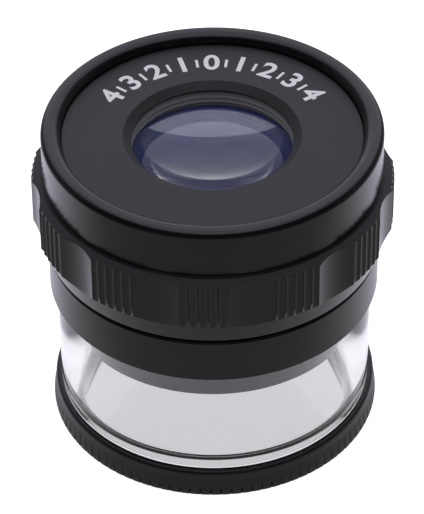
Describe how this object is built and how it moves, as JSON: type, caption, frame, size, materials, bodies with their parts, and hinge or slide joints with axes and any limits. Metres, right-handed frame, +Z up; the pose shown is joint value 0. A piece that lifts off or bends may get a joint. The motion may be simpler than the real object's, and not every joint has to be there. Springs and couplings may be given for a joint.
{
  "type": "measuring loupe",
  "caption": "Focusing magnifier on a clear cylindrical body with a scale glass in its knurled foot; the fluted ring turns the eyepiece up and down on a thread.",
  "frame": {"origin": "centre of the foot's underside, on the table", "axes": "+Z up along the optical axis, towards the eye; -Y towards the viewer of the picture; +X to the picture's right"},
  "size_m": [0.0562, 0.0562, 0.0532],
  "materials": {
    "base_black": "black anodised, satin",
    "sleeve_black": "black anodised, satin",
    "grip_black": "black anodised, satin",
    "cap_black": "black anodised, satin",
    "plate_black": "black anodised, fine matt grain",
    "barrel_black": "black anodised, turned",
    "inner_black": "black anodised, matt",
    "ring_black": "black anodised, worn matt thread ring",
    "rubber_black": "smooth",
    "clear_plastic": "polished clear acrylic",
    "scale_glass": "polished",
    "lens_glass": "polished",
    "coated_glass": "polished, blue-violet coating"
  },
  "bodies": {
    "base": {"base_ring": "base_black", "glass_washer": "rubber_black", "scale_glass": "scale_glass", "clear_body": "clear_plastic", "focus_sleeve": "sleeve_black"},
    "drag_ring": {"drag_ring": "rubber_black"},
    "focus_unit": {"lens_barrel": "barrel_black", "lens_retainer": "inner_black", "field_lens": "lens_glass", "lower_spacer": "inner_black", "middle_lens": "lens_glass", "upper_spacer": "inner_black", "eye_lens": "coated_glass", "eye_lens_ring": "ring_black", "grip_ring": "grip_black", "eyepiece_cap": "cap_black", "face_plate": "plate_black"}
  },
  "joints": [
    {"name": "focus_travel", "type": "slide", "parent": "base", "child": "drag_ring", "axis": [0, 0, 1], "range_m": [-0.0004, 0.0046]},
    {"name": "focus_turn", "type": "hinge", "parent": "drag_ring", "child": "focus_unit", "pos_m": [0, 0, 0.0329], "axis": [0, 0, 1], "range_deg": [-72.5, 828.5]}
  ],
  "couplings": [
    {"joint": "focus_turn", "follows": "focus_travel", "rad_per_m": 3141.6}
  ]
}
